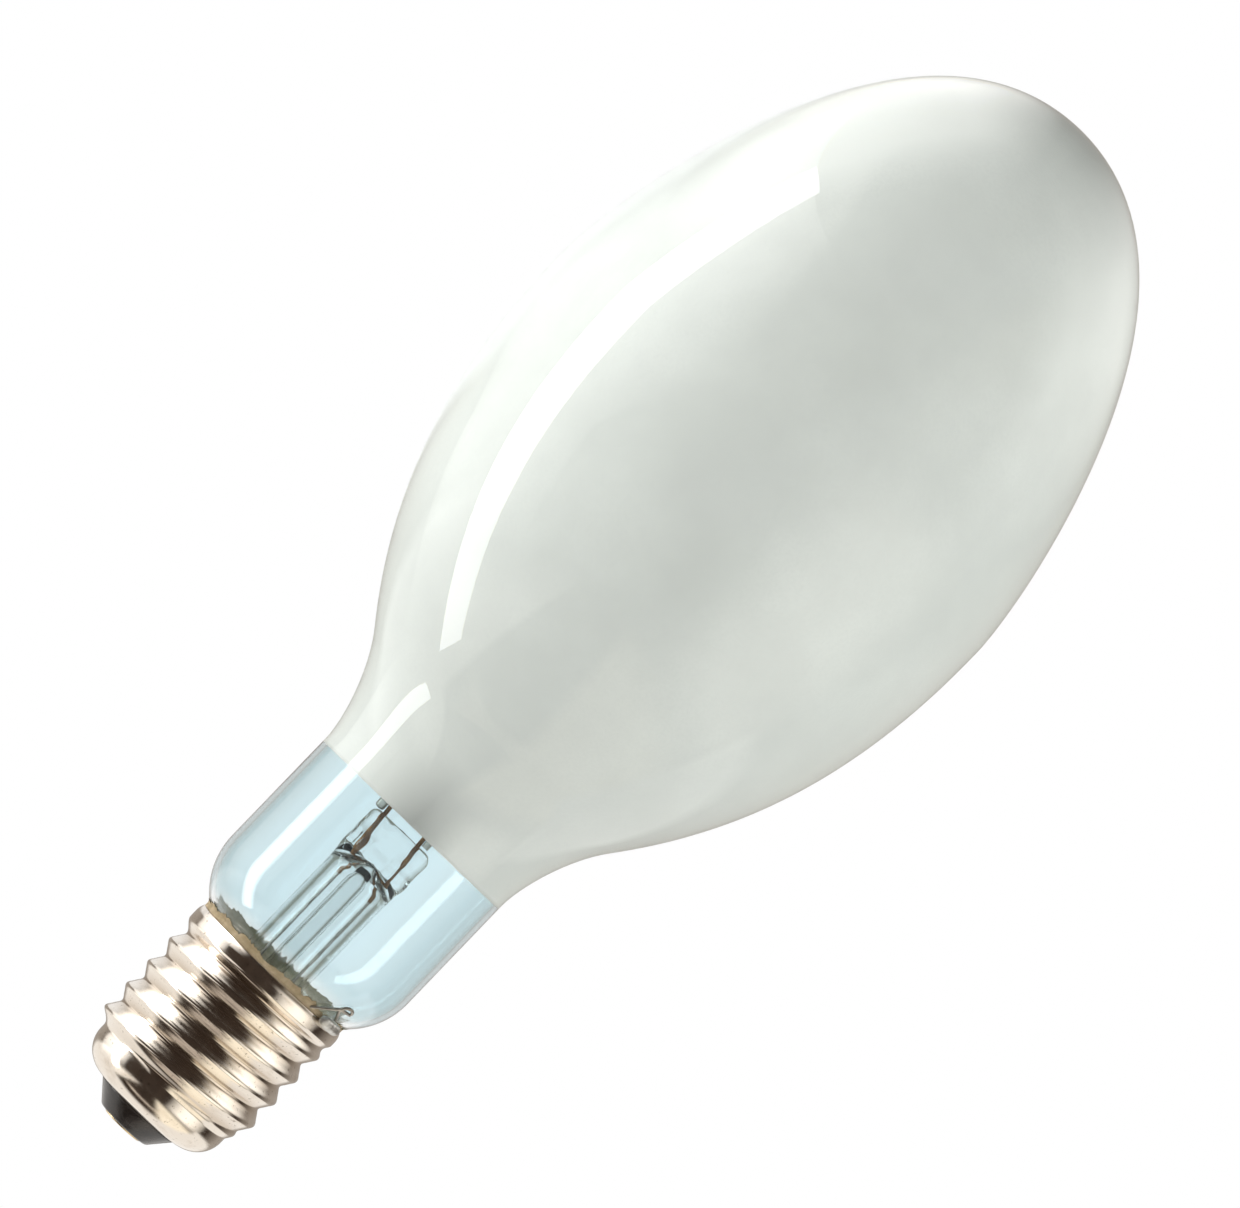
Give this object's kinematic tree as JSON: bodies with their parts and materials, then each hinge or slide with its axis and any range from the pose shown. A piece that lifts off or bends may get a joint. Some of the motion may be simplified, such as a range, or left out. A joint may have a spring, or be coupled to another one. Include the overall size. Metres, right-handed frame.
{
  "type": "metal halide lamp",
  "caption": "Discharge lamp with an ellipsoidal bulb coated white inside, a clear neck that shows the glass stem, and a nickel-plated screw cap with a black glass insulator.",
  "frame": {"origin": "middle of the outer face of the centre contact", "axes": "+Z along the lamp's axis from the centre contact up to the dome; the mount inside lies in the XZ plane, and the side lead comes over the rim between -Y and +X"},
  "size_m": [0.1196, 0.1196, 0.286],
  "materials": {
    "plated_shell": "gloss",
    "black_glass": "gloss",
    "contact_brass": "satin",
    "solder": "satin",
    "cement": "matte",
    "clear_glass": "gloss",
    "white_coat": "matte",
    "lead_wire": "satin",
    "oxidised_wire": "satin",
    "nickel_wire": "satin",
    "sleeve_ceramic": "matte",
    "getter_steel": "matte",
    "quartz": "gloss",
    "tungsten": "satin",
    "molybdenum": "satin"
  },
  "bodies": {
    "root": {"screw_shell": "plated_shell", "cap_insulator": "black_glass", "contact_eyelet": "contact_brass", "contact_solder": "solder", "side_solder": "solder", "cap_cement": "cement", "outer_bulb": "clear_glass", "stem": "clear_glass", "exhaust_tube": "clear_glass", "inner_coating": "white_coat", "side_lead": "lead_wire", "centre_lead": "lead_wire", "side_seal_wire": "oxidised_wire", "centre_seal_wire": "oxidised_wire", "frame_wire": "nickel_wire", "lower_post": "nickel_wire", "upper_clamp_front": "nickel_wire", "upper_clamp_back": "nickel_wire", "lower_clamp_front": "nickel_wire", "lower_clamp_back": "nickel_wire", "upper_connector": "nickel_wire", "lower_connector": "nickel_wire", "getter_post": "nickel_wire", "rod_sleeve_left": "sleeve_ceramic", "rod_sleeve_right": "sleeve_ceramic", "getter_ring": "getter_steel", "arc_tube": "quartz", "upper_electrode": "tungsten", "lower_electrode": "tungsten", "upper_electrode_coil": "tungsten", "lower_electrode_coil": "tungsten", "upper_foil": "molybdenum", "lower_foil": "molybdenum", "upper_tube_lead": "molybdenum", "lower_tube_lead": "molybdenum"}
  },
  "joints": []
}
